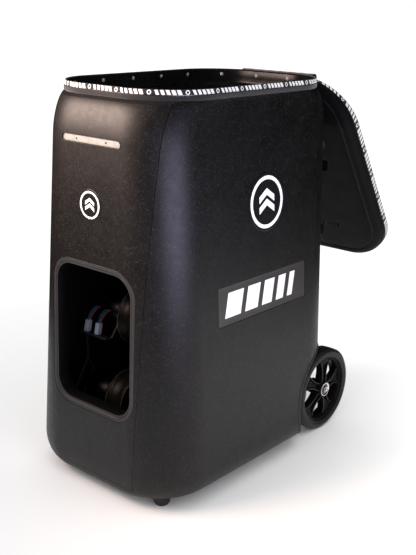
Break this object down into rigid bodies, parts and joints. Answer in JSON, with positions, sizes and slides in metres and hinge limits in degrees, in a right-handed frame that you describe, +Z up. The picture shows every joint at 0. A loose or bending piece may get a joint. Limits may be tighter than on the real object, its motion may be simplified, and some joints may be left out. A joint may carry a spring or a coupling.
{
  "type": "tennis ball machine",
  "caption": "Wheeled tennis ball machine: open hopper with a turning ball feed, a tilting wheel launcher behind a front window, a rear pull handle and a hinged zip lid.",
  "frame": {"origin": "on the ground, below the centre of the machine with its lid hanging open", "axes": "+X to the right as seen from the front, +Y towards the rear where the lid hangs, +Z up"},
  "size_m": [0.3252, 0.6777, 0.6315],
  "materials": {
    "shell_plastic": "fine grained, satin",
    "bezel_plastic": "satin",
    "hopper_plastic": "gloss",
    "inner_plastic": "satin",
    "band_fabric": "woven",
    "lid_fabric": "padded, woven",
    "tape_fabric": "woven tape",
    "badge_print": "printed",
    "plate_film": "gloss film",
    "light_lens": "frosted",
    "circuit_board": "printed board",
    "rubber": "matte",
    "tyre": "matte",
    "wheel_gloss": "gloss",
    "chrome": "polished",
    "steel": "brushed",
    "aluminium": "black anodised",
    "motor_case": "satin",
    "throw_rubber": "satin",
    "battery_case": "satin",
    "strap_web": "webbing",
    "display_glass": "gloss",
    "button_rubber": "matte",
    "rocker_red": "gloss",
    "plug_white": "satin",
    "wire_sleeve": "satin",
    "zip_metal": "satin"
  },
  "bodies": {
    "machine": {"main_shell": "shell_plastic", "front_panel": "shell_plastic", "outlet_bezel": "bezel_plastic", "light_bar_lens": "light_lens", "light_bar_board": "circuit_board", "badges": "badge_print", "side_plates": "plate_film", "rim_band": "band_fabric", "rim_rivets": "chrome", "base_plate": "inner_plastic", "screws": "steel", "front_feet": "rubber", "wheel_wells": "inner_plastic", "axle_beam": "inner_plastic", "axle": "steel", "hopper_collar": "hopper_plastic", "hopper_bowl": "hopper_plastic", "hopper_floor": "hopper_plastic", "feed_motor": "motor_case", "ball_chute": "inner_plastic", "yaw_motor": "motor_case", "battery_pack": "battery_case", "battery_strap": "strap_web", "control_board": "circuit_board", "rear_panel": "inner_plastic", "display_lens": "display_glass", "charge_socket": "inner_plastic", "handle_tubes": "aluminium", "zip_slider": "zip_metal", "hinge_strip": "tape_fabric"},
    "right_travel_wheel": {"right_tyre": "tyre", "right_wheel": "wheel_gloss", "right_hub_cap": "chrome"},
    "left_travel_wheel": {"left_tyre": "tyre", "left_wheel": "wheel_gloss", "left_hub_cap": "chrome"},
    "turntable": {"feed_turntable": "inner_plastic"},
    "yoke": {"launcher_yoke": "aluminium", "pitch_motor": "motor_case"},
    "cradle": {"launcher_cradle": "aluminium", "lower_wheel_motor": "motor_case", "upper_wheel_motor": "motor_case", "motor_plugs": "plug_white", "motor_wires": "wire_sleeve"},
    "lower_thrower": {"lower_throw_wheel": "throw_rubber", "lower_throw_hub": "aluminium"},
    "upper_thrower": {"upper_throw_wheel": "throw_rubber", "upper_throw_hub": "aluminium"},
    "rocker": {"power_rocker": "rocker_red"},
    "cap": {"socket_cap": "rubber"},
    "button_a": {"button_1": "button_rubber"},
    "button_b": {"button_2": "button_rubber"},
    "button_c": {"button_3": "button_rubber"},
    "button_d": {"button_4": "button_rubber"},
    "pull_handle": {"handle": "aluminium"},
    "release": {"release_button": "button_rubber"},
    "pull_tab": {"zip_pull_tab": "zip_metal"},
    "lid": {"lid_panel": "lid_fabric", "lid_tape": "tape_fabric", "lid_leaf": "tape_fabric"}
  },
  "joints": [
    {"name": "lid_hinge", "type": "hinge", "parent": "machine", "child": "lid", "pos_m": [0, 0.107, 0.629], "axis": [1, 0, 0], "range_deg": [0, 237]},
    {"name": "right_wheel_spin", "type": "hinge", "parent": "machine", "child": "right_travel_wheel", "pos_m": [0.128, 0.0957, 0.075], "axis": [1, 0, 0], "continuous": true},
    {"name": "left_wheel_spin", "type": "hinge", "parent": "machine", "child": "left_travel_wheel", "pos_m": [-0.128, 0.0957, 0.075], "axis": [1, 0, 0], "continuous": true},
    {"name": "feed_spin", "type": "hinge", "parent": "machine", "child": "turntable", "pos_m": [0, -0.141, 0.4], "axis": [0, 0, 1], "continuous": true},
    {"name": "launcher_yaw", "type": "hinge", "parent": "machine", "child": "yoke", "pos_m": [0, -0.157, 0.052], "axis": [0, 0, 1], "range_deg": [-12, 12]},
    {"name": "launcher_pitch", "type": "hinge", "parent": "yoke", "child": "cradle", "pos_m": [0, -0.157, 0.175], "axis": [-1, 0, 0], "range_deg": [-10, 25]},
    {"name": "lower_thrower_spin", "type": "hinge", "parent": "cradle", "child": "lower_thrower", "pos_m": [0, -0.24646, 0.12449], "axis": [1, 0, 0], "continuous": true},
    {"name": "upper_thrower_spin", "type": "hinge", "parent": "cradle", "child": "upper_thrower", "pos_m": [0, -0.21818, 0.25752], "axis": [1, 0, 0], "continuous": true},
    {"name": "power_rocker_tilt", "type": "hinge", "parent": "machine", "child": "rocker", "pos_m": [-0.034, 0.11, 0.246], "axis": [0, 0, -1], "range_deg": [0, 12]},
    {"name": "socket_cap_hinge", "type": "hinge", "parent": "machine", "child": "cap", "pos_m": [0.034, 0.1124, 0.258], "axis": [1, 0, 0], "range_deg": [0, 120]},
    {"name": "handle_slide", "type": "slide", "parent": "machine", "child": "pull_handle", "axis": [0, 0, 1], "range_m": [0, 0.035]},
    {"name": "release_press", "type": "slide", "parent": "pull_handle", "child": "release", "axis": [0, 0, -1], "range_m": [0, 0.003], "stiffness_N_per_m": 300, "springref_m": -0.002},
    {"name": "pull_tab_swing", "type": "hinge", "parent": "machine", "child": "pull_tab", "pos_m": [-0.1385, -0.051, 0.614], "axis": [0, 1, 0], "range_deg": [0, 120]},
    {"name": "button_1_press", "type": "slide", "parent": "machine", "child": "button_a", "axis": [0, -1, 0], "range_m": [0, 0.0015], "stiffness_N_per_m": 300, "springref_m": -0.002},
    {"name": "button_2_press", "type": "slide", "parent": "machine", "child": "button_b", "axis": [0, -1, 0], "range_m": [0, 0.0015], "stiffness_N_per_m": 300, "springref_m": -0.002},
    {"name": "button_3_press", "type": "slide", "parent": "machine", "child": "button_c", "axis": [0, -1, 0], "range_m": [0, 0.0015], "stiffness_N_per_m": 300, "springref_m": -0.002},
    {"name": "button_4_press", "type": "slide", "parent": "machine", "child": "button_d", "axis": [0, -1, 0], "range_m": [0, 0.0015], "stiffness_N_per_m": 300, "springref_m": -0.002}
  ]
}
